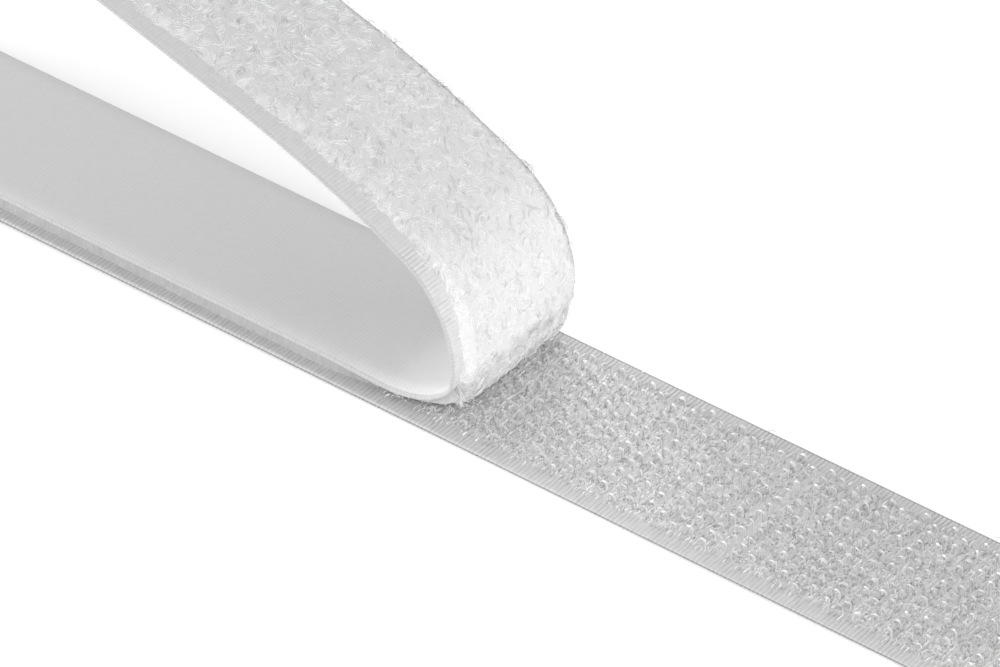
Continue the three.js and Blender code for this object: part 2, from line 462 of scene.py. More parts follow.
def on_tape(s, y, depth):
    """The point at arc length s and width y, a depth below the back towards the pile side, in mm."""
    slope = np.interp(s, CURVE_S, CURVE_SLOPE)
    sag = np.where(np.asarray(y) < 0, np.interp(s, SAG_PLACES, SAG_NEAR), np.interp(s, SAG_PLACES, SAG_FAR))
    sag = sag * np.clip((np.abs(y) - LOOP_WIDTH / 2 + SAG_WIDTH) / SAG_WIDTH, 0, SAG_MOST) ** 2
    depth = depth + sag
    y = y - np.sign(y) * np.minimum(sag, SAG_PULL_IN)
    x = np.interp(s, CURVE_S, CURVE_X) + depth * np.sin(slope)
    z = np.interp(s, CURVE_S, CURVE_Z) - depth * np.cos(slope)
    return np.stack(np.broadcast_arrays(x, y, z), axis=-1) + np.array(LOOP_SETTLE)


def hinge_stations():
    """Arc length of each hinge, added up from the hinge points in the frame."""
    joints = {j["name"]: j for j in frame["joints"]}
    places = np.array([joints[name]["pos_m"] for name in HINGES]) / MM
    steps = np.hypot(np.diff(places[:, 0]), np.diff(places[:, 2]))
    return places[0, 0] - TAPE_LEFT + np.concatenate([[0.0], np.cumsum(steps)])


HINGE_S = hinge_stations()
SEAMS = np.concatenate([[0.0], (HINGE_S[1:] + HINGE_S[:-1]) / 2, [TAPE_LENGTH]])


def bend_with_tape(piece, span):
    """Bakes a piece of one span in place; the two points about that span's hinge are worked out but not used.
    """
    reach = BEND_SHARE * min(HINGE_S[span] - SEAMS[span], SEAMS[span + 1] - HINGE_S[span])
    start = on_tape(HINGE_S[span] - reach, 0.0, LOOP_THICKNESS / 2) * MM
    end = on_tape(HINGE_S[span] + reach, 0.0, LOOP_THICKNESS / 2) * MM
    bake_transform(piece)


def span_nodes(kind, span):
    """The CAD nodes that the piece over one span takes the place of."""
    last = span == len(HINGES) - 1
    return [f"loop_{kind}_{link}" for link in LINKS[span:span + (2 if last else 1)]]


# Materials.
def grey(shade):
    """A grey colour with full alpha."""
    return (shade, shade, shade, 1)


def set_inputs(node, **values):
    """Sets inputs of a node by name; an underscore stands for a space."""
    for name, value in values.items():
        node.inputs[name.replace("_", " ")].default_value = value


def shader(name, roughness, specular=CLOTH_SPECULAR):
    """A new material, its tree and its main shader node."""
    material = bpy.data.materials.new(name)
    material.use_nodes = True
    tree = material.node_tree
    main = tree.nodes["Principled BSDF"]
    set_inputs(main, Roughness=roughness, Specular_IOR_Level=specular)
    return material, tree, main


def tape_place(tree):
    """The place along and across the tape, in mm."""
    place = tree.nodes.new("ShaderNodeUVMap")
    place.uv_map = "tape"
    return place.outputs["UV"]


def noise(tree, place, scale, detail, distortion=0.0):
    """Uneven shade over the tape."""
    node = tree.nodes.new("ShaderNodeTexNoise")
    set_inputs(node, Scale=scale, Detail=detail, Distortion=distortion)
    tree.links.new(place, node.inputs["Vector"])
    return node.outputs["Fac"]


def yarn_bands(tree, place, direction, pitch, distortion, detail_scale):
    """Slightly wavy lines of yarn, side by side along a direction."""
    node = tree.nodes.new("ShaderNodeTexWave")
    node.wave_type = "BANDS"
    node.bands_direction = direction
    set_inputs(node, Scale=WAVE_PITCH / pitch, Distortion=distortion, Detail=1.0, Detail_Scale=detail_scale)
    tree.links.new(place, node.inputs["Vector"])
    return node.outputs["Fac"]


def math_node(tree, operation, *values):
    """The value of a math node; each of its inputs is a number or the output of another node."""
    node = tree.nodes.new("ShaderNodeMath")
    node.operation = operation
    for socket, value in zip(node.inputs, values):
        if isinstance(value, bpy.types.NodeSocket):
            tree.links.new(value, socket)
        else:
            socket.default_value = value
    return node.outputs["Value"]


def grey_ramp(tree, value, shades, places):
    """A colour that goes from a dark to a light shade as the value goes from one place to the other."""
    ramp = tree.nodes.new("ShaderNodeValToRGB")
    for element, shade, place in zip(ramp.color_ramp.elements, shades, places):
        element.position = place
        element.color = grey(shade)
    tree.links.new(value, ramp.inputs["Fac"])
    return ramp.outputs["Color"]


def add_bump(tree, main, height, strength, relief):
    """Small relief, in mm, from a height between 0 and 1."""
    bump = tree.nodes.new("ShaderNodeBump")
    set_inputs(bump, Strength=strength, Distance=relief * MM)
    tree.links.new(height, bump.inputs["Height"])
    tree.links.new(bump.outputs["Normal"], main.inputs["Normal"])


def woven_material(name, shades, pitches, relief=0.02, roughness=0.6, mottle=1.3, weave=0.5, top=1.0):
    """Woven nylon: weft lines across the tape over warp lines along it, with uneven yarn."""
    material, tree, main = shader(name, roughness)
    place = tape_place(tree)
    wobble = noise(tree, place, mottle, detail=2.0)
    weft = yarn_bands(tree, place, "X", pitches[0], distortion=1.2, detail_scale=2.0)
    warp = yarn_bands(tree, place, "Y", pitches[1], distortion=1.0, detail_scale=1.0)
    cross = math_node(tree, "MULTIPLY_ADD", warp, WARP_SHARE, weft)
    shade = math_node(tree, "MULTIPLY_ADD", cross, weave, wobble)
    colour = grey_ramp(tree, shade, shades, (WEAVE_START, top))
    tree.links.new(colour, main.inputs["Base Color"])
    add_bump(tree, main, cross, WEAVE_BUMP, relief)
    return material


def felt_material(name, held, free):
    """The matted ground of the pile: uneven white with fine streaks, painted darker where the hooks hold it,
    as painted shade for the shaded gap under the tape's edge.

    held and free are the darkest and lightest shade of each stretch; held's darker shades are painted shade.
    """
    material, tree, main = shader(name, roughness=0.9)
    place = tape_place(tree)
    fuzz = noise(tree, place, FELT_FUZZ, detail=4.0, distortion=1.5)
    apart = tree.nodes.new("ShaderNodeSeparateXYZ")
    tree.links.new(place, apart.inputs["Vector"])
    along = tree.nodes.new("ShaderNodeMapRange")
    set_inputs(along, From_Min=FELT_SHADE_UNTIL, From_Max=FELT_SHADE_GONE_FROM)
    tree.links.new(apart.outputs["X"], along.inputs["Value"])
    mix = tree.nodes.new("ShaderNodeMixRGB")
    tree.links.new(along.outputs["Result"], mix.inputs["Fac"])
    tree.links.new(grey_ramp(tree, fuzz, held, FELT_RAMP), mix.inputs["Color1"])
    tree.links.new(grey_ramp(tree, fuzz, free, FELT_RAMP), mix.inputs["Color2"])
    tree.links.new(mix.outputs["Color"], main.inputs["Base Color"])
    add_bump(tree, main, fuzz, FELT_BUMP, FELT_RELIEF)
    return material


def filament_material(name, shade, specular, roughness=0.5, clear=0.0, coat=0.0):
    """Drawn nylon, one shade along its length; clear is the share of light that goes through."""
    material, _, main = shader(name, roughness, specular)
    set_inputs(main, Coat_Weight=coat, Coat_Roughness=0.1)
    set_inputs(main, Transmission_Weight=clear, IOR=1.2 if clear else 1.5)
    set_inputs(main, Base_Color=grey(shade))
    return material


HOOK_WEAVE = (HOOK_RIB_PITCH, HOOK_WARP_PITCH)
LOOP_WEAVE = (LOOP_RIB_PITCH, LOOP_WARP_PITCH)
hook_web_materials = [
    woven_material("hook_selvedge", (0.375, 0.48), HOOK_WEAVE),
    woven_material("hook_ground", (0.46, 0.57), HOOK_WEAVE, relief=0.012, mottle=2.6, weave=0.12, top=0.8),
    woven_material("hook_edge", (0.33, 0.4), HOOK_WEAVE, roughness=0.7),
    # Painted shade: a dark line for the near edge's contact shadow and for the far edge turned from the
    # light.
    woven_material("hook_edge_painted_shade", (0.17, 0.21), HOOK_WEAVE, roughness=0.7),
]
loop_web_materials = [
    woven_material("loop_back", (0.455, 0.495), LOOP_WEAVE, relief=0.008),
    woven_material("loop_selvedge", (0.43, 0.49), LOOP_WEAVE, relief=0.004, weave=0.2),
    # The rims are painted darker than the back: painted shade for the edge over the shaded gap beside the
    # hooks.
    woven_material("loop_edge", (0.32, 0.37), LOOP_WEAVE, roughness=0.7),
]
# held is painted shade, darker than free.
felt = felt_material("loop_felt", held=(0.25, 0.32), free=(0.48, 0.52))
pile_materials = [
    filament_material("pile_filament_bright", shade=0.74, roughness=0.4, specular=0.3),
    filament_material("pile_filament_mid", shade=0.65, roughness=0.45, specular=0.3),
    filament_material("pile_filament_dull", shade=0.56, specular=0.2),
]
wire_materials = [
    filament_material("hook_wire", shade=0.8, roughness=0.35, specular=0.05, clear=0.85, coat=0.5),
    filament_material("hook_cut", shade=0.28, roughness=0.4, specular=0.3),
]
stitch_materials = [
    filament_material("hook_yarn_light", shade=0.84, specular=0.2),
    filament_material("hook_yarn_mid", shade=0.62, specular=0.2),
    filament_material("hook_yarn_dark", shade=0.34, specular=0.1),
]


# The webs.
def web_section(width, thickness, selvedge, places):
    """Places round a web's section: y, height above one face, outward y, outward height, and zone.

    Zone 0 is the first face, 1 an edge, 2 the other face's selvedges and 3 its middle.
    """
    half = width / 2
    bow = thickness / 2
    flat = half - bow
    inner = half - selvedge
    rim = np.radians(np.linspace(-RIM_TURN, RIM_TURN, RIM_PLACES))
    sides = np.append(np.linspace(inner + ZONE_STEP, flat - EDGE_STEP, SELVEDGE_PLACES), flat)
    first = np.concatenate([[-flat], np.linspace(EDGE_STEP - flat, flat - EDGE_STEP, places[0]), [flat]])
    middle = np.linspace(inner - ZONE_STEP, -inner + ZONE_STEP, places[1])
    second = np.concatenate([sides[::-1], middle, -sides])
    zone = np.where(np.abs(second) > inner, 2, 3)
    y = np.concatenate([first, flat + bow * np.cos(rim), second, -flat - bow * np.cos(rim)])
    z = np.concatenate([0 * first, bow + bow * np.sin(rim), 0 * second + thickness, bow - bow * np.sin(rim)])
    out_y = np.concatenate([0 * first, np.cos(rim), 0 * second, -np.cos(rim)])
    out_z = np.concatenate([0 * first - 1, np.sin(rim), 0 * second + 1, -np.sin(rim)])
    zones = np.concatenate([0 * first, 0 * rim + 1, zone, 0 * rim + 1]).astype(int)
    return y, z, out_y, out_z, zones


def rib_stations(start, end, pitch):
    """Stations from start to end that keep step with the ribs."""
    step = pitch / RIB_SAMPLES
    inside = np.arange(math.ceil(start / step), math.floor(end / step) + 1) * step
    inside = inside[(inside > start + step / 3) & (inside < end - step / 3)]
    return np.concatenate([[start], inside, [end]])


def spread_ribs(s):
    """Share of the full rib height: low on the flat, all of it where a bend spreads the ribs."""
    bend = np.interp(s, CURVE_S, np.gradient(CURVE_SLOPE, CURVE_S))
    return FLAT_RIB_SHARE + (1 - FLAT_RIB_SHARE) * np.clip(bend / RIBS_SPREAD_AT, 0, 1)


def web_rings(start, end, width, thickness, selvedge, pitch, heights, ribs, places):
    """Stations, width, depth, UV and zones of a ribbed web's rings.

    heights are the rib heights per zone, and ribs gives the share of it on the selvedges at each station.
    """
    y, z, out_y, out_z, zones = web_section(width, thickness, selvedge, places)
    s = rib_stations(start, end, pitch)
    yarn = 1 + YARN_UNEVENNESS * soft_noise(s[:, None], y[None, :] / YARN_WIDTH, pitch * YARN_RUN, YARN_SEED)
    tall = np.asarray(heights)[zones][None, :] * np.where(zones[None, :] == 2, ribs(s)[:, None], 1.0)
    lift = (cord(s, pitch)[:, None] - 1) * tall * yarn
    width_at = y[None, :] + lift * out_y[None, :]
    depth_at = z[None, :] + lift * out_z[None, :]
    uv = np.stack(np.broadcast_arrays(s[:, None], width_at), axis=-1)
    return s, width_at, depth_at, uv, zones


def hook_web_piece():
    """The hook tape's web; its far edge and the lower part of its near edge are painted dark, as painted
    shade.
    """
    s, y, z, uv, zones = web_rings(
        0.0, TAPE_LENGTH, HOOK_WIDTH, HOOK_THICKNESS, HOOK_SELVEDGE, HOOK_RIB_PITCH,
        HOOK_RIB_HEIGHTS, np.ones_like, HOOK_WEB_PLACES,
    )
    rings = np.stack(np.broadcast_arrays(s[:, None] + TAPE_LEFT, y, z), axis=-1)
    edge = zones == 1
    # The painted shade covers all of the far edge and the near edge below its share of the thickness.
    line = edge & ((np.mean(y, axis=0) > 0) | (np.mean(z, axis=0) < HOOK_THICKNESS * HOOK_EDGE_SHADE_HEIGHT))
    kinds = np.select([line, edge, zones == 3], [3, 2, 1], 0)
    piece = ring_object("hook_tape_web", rings, uv, hook_web_materials, kinds)
    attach(piece, "hook_tape")
    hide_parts("hook_web")
    return piece


def loop_web_piece(span):
    """The loop tape's web over one span."""
    s, y, depth, uv, zones = web_rings(
        SEAMS[span], SEAMS[span + 1], LOOP_WIDTH, LOOP_THICKNESS, LOOP_SELVEDGE, LOOP_RIB_PITCH,
        LOOP_RIB_HEIGHTS, spread_ribs, LOOP_WEB_PLACES,
    )
    rings = on_tape(s[:, None], y, depth)
    kinds = np.roll(np.select([zones == 1, zones > 1], [2, 1], 0)[::-1], -1)
    name = f"loop_tape_web_{span + 1}"
    piece = ring_object(name, rings[:, ::-1], uv[:, ::-1], loop_web_materials, kinds)
    bend_with_tape(piece, span)
    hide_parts(*span_nodes("web", span))
    return piece


# The hooks.
def hook_places():
    """X, Y and facing of every hook."""
    reach = HOOK_ARCH + HOOK_WIRE + HOOK_END_MARGIN
    places = []
    first = math.floor((TAPE_LEFT - HOOK_BAND_START) / HOOK_BAND_PITCH)
    for band in range(first, -first + 1):
        for offset, facing, shifted in HOOK_ROWS:
            x = HOOK_BAND_START + band * HOOK_BAND_PITCH + offset
            if abs(x) > TAPE_LENGTH / 2 - reach:
                continue
            for column in range(HOOK_COLUMNS - shifted):
                y = (column - (HOOK_COLUMNS - shifted - 1) / 2) * HOOK_COLUMN_PITCH
                places.append((x, y, facing))
    return np.array(places)


def hook_paths():
    """Centre lines of the hooks and of the cut legs beside them, and each one's X."""
    rng = np.random.default_rng(HOOK_SEED)
    places = hook_places()
    facing = places[:, 2:3]
    count = len(places)
    top = HOOK_TOP - HOOK_WIRE / 2 - np.abs(rng.normal(0, HOOK_TOP_SPREAD, count))
    arch = HOOK_ARCH * (1 + rng.normal(0, HOOK_ARCH_SPREAD, count))
    twist = rng.normal(0, HOOK_TWIST, count)[:, None]
    lean = rng.normal(0, HOOK_LEAN, count)[:, None]
    tip = HOOK_TIP_HEIGHT + rng.normal(0, HOOK_TIP_SPREAD, count)
    stub_top = HOOK_STUB_HEIGHT + rng.normal(0, HOOK_STUB_SPREAD, count)
    x0 = places[:, 0] + rng.normal(0, HOOK_PLACE_SPREAD[0], count)
    y0 = places[:, 1] + rng.normal(0, HOOK_PLACE_SPREAD[1], count)
    shoulder = top - arch
    foot = np.full(count, HOOK_FOOT)
    across = [-arch, -arch]
    height = [foot, 0.5 * (HOOK_FOOT + shoulder)]
    for angle in np.linspace(0, np.pi, HOOK_POINTS - 3):
        across.append(-arch * np.cos(angle))
        height.append(shoulder + arch * max(0.0, math.sin(angle)) ** HOOK_TOP_FLATNESS)
    across.append(arch * HOOK_TIP_OUT)
    height.append(tip)
    hook_across = np.stack(across, axis=1) * facing
    hook_height = np.stack(height, axis=1)
    leg_across = facing * (arch[:, None] * np.array([HOOK_STUB_OUT]))
    leg_height = np.stack([foot, 0.5 * (HOOK_FOOT + stub_top), stub_top], axis=1)
    lines = []
    for out, up in ((hook_across, hook_height), (leg_across, leg_height)):
        x = x0[:, None] + out * np.cos(twist)
        y = y0[:, None] + out * np.sin(twist) + lean * up
        lines.append(np.stack([x, y, up], axis=-1))
    return *lines, x0


def hook_pieces():
    """The hooks and their cut legs, one piece per hook field."""
    rng = np.random.default_rng(HOOK_ROLL_SEED)
    hooks, legs, x0 = hook_paths()
    field = np.clip(((x0 - TAPE_LEFT) / TAPE_LENGTH * HOOK_FIELDS).astype(int), 0, HOOK_FIELDS - 1)
    made = []
    for k in range(HOOK_FIELDS):
        lines = hooks[field == k]
        points, skin, caps = tube_arrays(lines, HOOK_WIRE / 2, WIRE_SIDES)
        middle = np.repeat(lines.reshape(-1, 3), WIRE_SIDES, axis=0)
        wide = (points[:, 1] - middle[:, 1]) * HOOK_WIRE_WIDENING
        tall = (points[:, 2] - middle[:, 2]) * HOOK_WIRE_FLATTENING
        roll = np.repeat(rng.normal(0, HOOK_ROLL, len(lines)), len(points) // len(lines))
        points[:, 1] = middle[:, 1] + wide * np.cos(roll) - tall * np.sin(roll)
        points[:, 2] = middle[:, 2] + wide * np.sin(roll) + tall * np.cos(roll)
        more, more_skin, more_caps = tube_arrays(legs[field == k], HOOK_WIRE / 2, WIRE_SIDES)
        faces = [skin, more_skin + len(points)]
        flats = [caps, more_caps + len(points)]
        which = np.concatenate([np.zeros(len(skin) + len(more_skin)), np.ones(len(caps) + len(more_caps))])
        piece = mesh_object(
            f"hooks_{k + 1}", np.concatenate([points, more]), faces, flats,
            material_of=which, materials=wire_materials,
        )
        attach(piece, "hook_tape")
        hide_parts(f"hook_field_{k + 1}")
        made.append(piece)
    return made


def yarn_object(name, lines, radius, shade, materials):
    """Thin yarns along lines[yarn][step], each in one of the materials."""
    points, skin, caps = tube_arrays(lines, radius, YARN_SIDES)
    which = np.concatenate([np.repeat(shade, len(skin) // len(lines)), shade, shade])
    return mesh_object(name, points, [skin, caps], material_of=which, materials=materials)


def stitch_pieces():
    """Yarns of the ground weave that float between the hooks, one piece per hook field."""
    rng = np.random.default_rng(STITCH_SEED)
    made = []
    length = TAPE_LENGTH / HOOK_FIELDS
    t = np.linspace(0, 1, STITCH_POINTS)[None, :]
    for k in range(HOOK_FIELDS):
        count = int(length * 2 * STITCH_FIELD * STITCHES_PER_AREA)
        x0 = TAPE_LEFT + length * k + rng.uniform(HOOK_END_MARGIN, length - HOOK_END_MARGIN, count)
        y0 = rng.uniform(-1, 1, count) * np.where(x0 < TAPE_LEFT + LIFT_OFF, STITCH_FIELD_HELD, STITCH_FIELD)
        across = rng.random(count) < STITCH_ACROSS_SHARE
        y0 = np.where(across, y0, y0 * STITCH_OTHER_FIELD)
        x0 = np.where(across, np.round(x0 / HOOK_RIB_PITCH) * HOOK_RIB_PITCH, x0)
        straight = np.pi / 2 + rng.normal(0, STITCH_TURN, count)
        heading = np.where(across, straight, rng.uniform(0, np.pi, count))
        long = rng.uniform(*STITCH_ACROSS_LENGTH, count)
        reach = np.where(across, long, rng.uniform(*STITCH_OTHER_LENGTH, count))
        bow = rng.normal(0, STITCH_BOW, count)
        rise = rng.uniform(*STITCH_RISE, count)
        y0[:STRAYS] = HOOK_WIDTH / 2
        heading[:STRAYS] = rng.uniform(*STRAY_HEADING, STRAYS)
        reach[:STRAYS] = rng.uniform(*STRAY_LENGTH, STRAYS)
        rise[:STRAYS] = STRAY_RISE
        out = reach[:, None] * (t - 0.5)
        side = bow[:, None] * np.sin(np.pi * t)
        cosine = np.cos(heading)[:, None]
        sine = np.sin(heading)[:, None]
        x = x0[:, None] + out * cosine - side * sine
        y = y0[:, None] + out * sine + side * cosine
        z = HOOK_THICKNESS - STITCH_SINK + rise[:, None] * np.sin(np.pi * t)
        x = np.clip(x, TAPE_LEFT + STITCH_RADIUS, -TAPE_LEFT - STITCH_RADIUS)
        shade = rng.choice(len(stitch_materials), count, p=STITCH_SHADES)
        lines = np.stack([x, y, z], axis=-1)
        piece = yarn_object(f"hook_ground_{k + 1}", lines, STITCH_RADIUS, shade, stitch_materials)
        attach(piece, "hook_tape")
        made.append(piece)
    return made


# The pile.
def pile_held(s):
    """1 where the hooks hold the pile, 0 where it is free."""
    return eased(fade(s, STUCK_UNTIL, OPEN_FROM))


def pile_flush(s):
    """1 where the pile's near border stands up straight, 0 where it eases down to the web."""
    return eased(fade(s, FLUSH_UNTIL, EASED_FROM))


def pile_near(s):
    """Where the pile's near border lies."""
    ragged = layered_noise(s, 0 * np.asarray(s), NEAR_NOISE)
    return np.interp(s, BORDER_PLACES, BORDER_NEAR) + ragged * (1 - FLUSH_CALM * pile_flush(s))


def pile_far(s):
    """Where the pile's far border lies."""
    return PILE_FAR + layered_noise(s, 0 * np.asarray(s) + FAR_NOISE_AT, FAR_NOISE)


def squeezed(s, y, depth):
    """Width place of a point of the pile, moved out at the foot of the held pile's near border."""
    held = fade(s, *SQUEEZE_FADE)
    deep = np.clip((depth - LOOP_THICKNESS) / FELT_DEPTH_STUCK, 0, 1)
    inward = np.maximum(0.0, y - pile_near(s))
    return y - SQUEEZE * held * deep**3 * np.exp(-inward / SQUEEZE_REACH)


def peel_stretch(s):
    """How far the last hooks that hold the lifting tape draw the pile out."""
    slope = np.interp(s, CURVE_S, CURVE_SLOPE)
    lifted = (np.interp(s, CURVE_S, CURVE_Z) - BACK_HEIGHT) / np.cos(slope)
    let_go = np.clip((np.asarray(s) - PEEL_FRONT) / PEEL_REACH, 0, 1)
    return lifted * (1 - eased(let_go))


def felt_top(s, y, drawn=True):
    """Depth of the felt's surface below the tape's back, with or without what the hooks draw out."""
    rough = layered_noise(s, y, FELT_NOISE)
    flush = pile_flush(s)
    inward = y - pile_near(s)
    rim_near = np.clip(inward / (RIM_NEAR_EASED + (RIM_NEAR_FLUSH - RIM_NEAR_EASED) * flush), 0, 1)
    rim_far = np.clip((pile_far(s) - y) / RIM_FAR, 0, 1)
    slope = eased(rim_near)
    slope = slope + (np.sqrt(rim_near * (2 - rim_near)) - slope) * flush
    rim = slope * np.sqrt(rim_far * (2 - rim_far))
    depth = FELT_DEPTH + (FELT_DEPTH_STUCK - FELT_DEPTH) * pile_held(s)
    share = PEEL_NEAR_SHARE + (1 - PEEL_NEAR_SHARE) * eased(np.clip(inward / PEEL_NEAR_REACH, 0, 1))
    depth = depth + peel_stretch(s) * share * (drawn | (np.asarray(s) > DRAWN[1] - DRAWN_OVERLAP))
    return LOOP_THICKNESS - FELT_SINK + (depth + FELT_OVER + rough) * rim


def felt_places(s):
    """Width places of the felt's surface and of its underside, at a column of stations s."""
    across = np.linspace(0, 1, FELT_PLACES)[None, :]
    turn = np.pi * (FELT_INSET + (1 - 2 * FELT_INSET) * across)
    across = 0.5 - 0.5 * np.cos(turn) / math.cos(np.pi * FELT_INSET)
    near = pile_near(s)
    far = pile_far(s)
    under = np.concatenate([far - FELT_UNDER, (near + far) / 2, near + FELT_UNDER], axis=1)
    return near + (far - near) * across, under


def felt_object(name, s, top, low):
    """A piece of felt at a column of stations s, from the depths of its surface and its underside."""
    y, under = felt_places(s)
    ring_y = np.concatenate([squeezed(s, y, top), under], axis=1)
    rings = on_tape(s, ring_y, np.concatenate([top, low], axis=1))
    uv = np.stack(np.broadcast_arrays(s, ring_y), axis=-1)
    return ring_object(name, rings, uv, [felt])


def draw_with_tape(piece):
    """Bakes the drawn-out pile in place; the point where the tape lifts is worked out but not used."""
    hinge = (on_tape(PEEL_FRONT, 0.0, 0.0) - LOOP_SETTLE)[0]
    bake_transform(piece)


def drawn_felt_piece():
    """The felt that the last hooks draw out of the pile where the tape lifts."""
    s = rib_stations(*DRAWN, FELT_PITCH)[:, None]
    y, under = felt_places(s)
    low = np.maximum(felt_top(s, under, False) - DRAWN_UNDER, DRAWN_LEAST_DEPTH)
    piece = felt_object("loop_felt_drawn", s, felt_top(s, y), low)
    draw_with_tape(piece)
    return piece


def felt_piece(span):
    """The matted ground of the pile over one span."""
    s = rib_stations(SEAMS[span], SEAMS[span + 1], FELT_PITCH)
    sink = np.zeros(len(s))
    for reach, drop in FELT_LAP:
        before = [] if span == 0 else [SEAMS[span] - reach]
        after = [] if span == len(HINGES) - 1 else [SEAMS[span + 1] + reach]
        s = np.concatenate([before, s, after])
        sink = np.concatenate([[drop] * len(before), sink, [drop] * len(after)])
    s = s[:, None]
    y, under = felt_places(s)
    top = felt_top(s, y, False) - sink[:, None]
    low = np.full(under.shape, LOOP_THICKNESS - FELT_UNDER)
    piece = felt_object(f"loop_felt_{span + 1}", s, top, low)
    bend_with_tape(piece, span)
    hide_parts(*span_nodes("pile", span))
    return piece


def filament_paths(rng, root_s, root_y, radius, height, each):
    """Bundles of curled filaments: tape coordinates along each filament, and its root."""
    count = len(root_s)
    heading = rng.uniform(0, 2 * np.pi, count)
    sweep = rng.uniform(*FILAMENT_SWEEP, count) * rng.choice([-1, 1], count)
    tilt = rng.uniform(*FILAMENT_TILT, count)
    tilt_to = rng.uniform(0, 2 * np.pi, count)
    of = np.repeat(np.arange(count), each)
    total = len(of)
    strand = np.arange(total) - np.repeat(np.cumsum(each) - each, each)
    middle_s = (root_s - radius * np.cos(heading))[of] + rng.normal(0, STRAND_SHIFT, total)
    middle_y = (root_y - radius * np.sin(heading))[of] + rng.normal(0, STRAND_SHIFT, total)
    offset = (strand - (each[of] - 1) / 2) * STRAND_PITCH
    radius = np.maximum(LEAST_CURL, radius[of] + offset + rng.normal(0, STRAND_CURL_SPREAD, total))
    heading = heading[of] + rng.normal(0, STRAND_TURN_SPREAD, total)
    sweep = sweep[of] * (1 + rng.normal(0, STRAND_SWEEP_SPREAD, total))
    height = np.maximum(0.0, height[of] + rng.normal(0, STRAND_HEIGHT_SPREAD, total))
    t = np.linspace(0, 1, FILAMENT_POINTS)[None, :]
    angle = heading[:, None] + sweep[:, None] * t
    rise = np.sin(np.pi * t) ** FILAMENT_FULLNESS
    wave = 1 + tilt[of][:, None] * np.sin(angle + tilt_to[of][:, None])
    s = middle_s[:, None] + radius[:, None] * np.cos(angle)
    y = middle_y[:, None] + radius[:, None] * np.sin(angle)
    flush = pile_flush(s)
    near = pile_near(s) - NEAR_OUT + NEAR_FLUSH_IN * flush
    below = np.maximum(0.0, near - y)
    give = NEAR_GIVE - FLUSH_STIFFNESS * flush
    y = y + below - give * (1 - np.exp(-below / give))
    past = np.maximum(0.0, y - LOOP_WIDTH / 2)
    y = y - past + FAR_GIVE * (1 - np.exp(-past / FAR_GIVE))
    depth = felt_top(s, y) - FILAMENT_SINK + height[:, None] * rise * wave
    return s, y, depth, np.clip(s[:, 0], 0, TAPE_LENGTH)


def bundles(rng, root_s, root_y, kind, taller=1.0):
    """Filaments of one kind of bundle at the given roots."""
    count = len(root_s)
    radius = rng.uniform(*kind[0], count)
    height = rng.uniform(*kind[1], count) * taller
    each = rng.integers(*kind[2], count)
    return filament_paths(rng, root_s, root_y, radius, height, each)


def strewn(rng, start, end, density):
    """Root places strewn over a stretch of pile, some of them drawn together in tufts."""
    area = (end - start) * (PILE_FAR - PILE_NEAR)
    rows = max(1, round((end - start) * math.sqrt(density)))
    columns = max(1, round((PILE_FAR - PILE_NEAR) * math.sqrt(density)))
    count = rows * columns
    s = start + (end - start) * (np.repeat(np.arange(rows), columns) + rng.random(count)) / rows
    y = (np.tile(np.arange(columns), rows) + rng.random(count)) / columns
    tufts = max(1, int(area * TUFTS_PER_AREA))
    tuft_s = rng.uniform(start, end, tufts)
    tuft_y = rng.uniform(0, 1, tufts)
    drawn = rng.random(count) < TUFT_SHARE
    pick = rng.integers(0, tufts, count)
    s = np.where(drawn, np.clip(tuft_s[pick] + rng.normal(0, TUFT_SPREAD, count), start, end), s)
    y = pile_near(s) + (pile_far(s) - pile_near(s)) * np.where(drawn, tuft_y[pick], y)
    y = np.where(drawn, y + rng.normal(0, TUFT_SPREAD, count), y)
    return s, np.clip(y, pile_near(s), pile_far(s)), drawn


def tuft_places(rng, start, tufts, each, spread):
    """Arc lengths of bundles gathered in tufts, from start to the tape's end."""
    s = np.repeat(rng.uniform(start, TAPE_LENGTH, tufts), each)
    return np.clip(s + rng.normal(0, spread, len(s)), 0, TAPE_LENGTH)


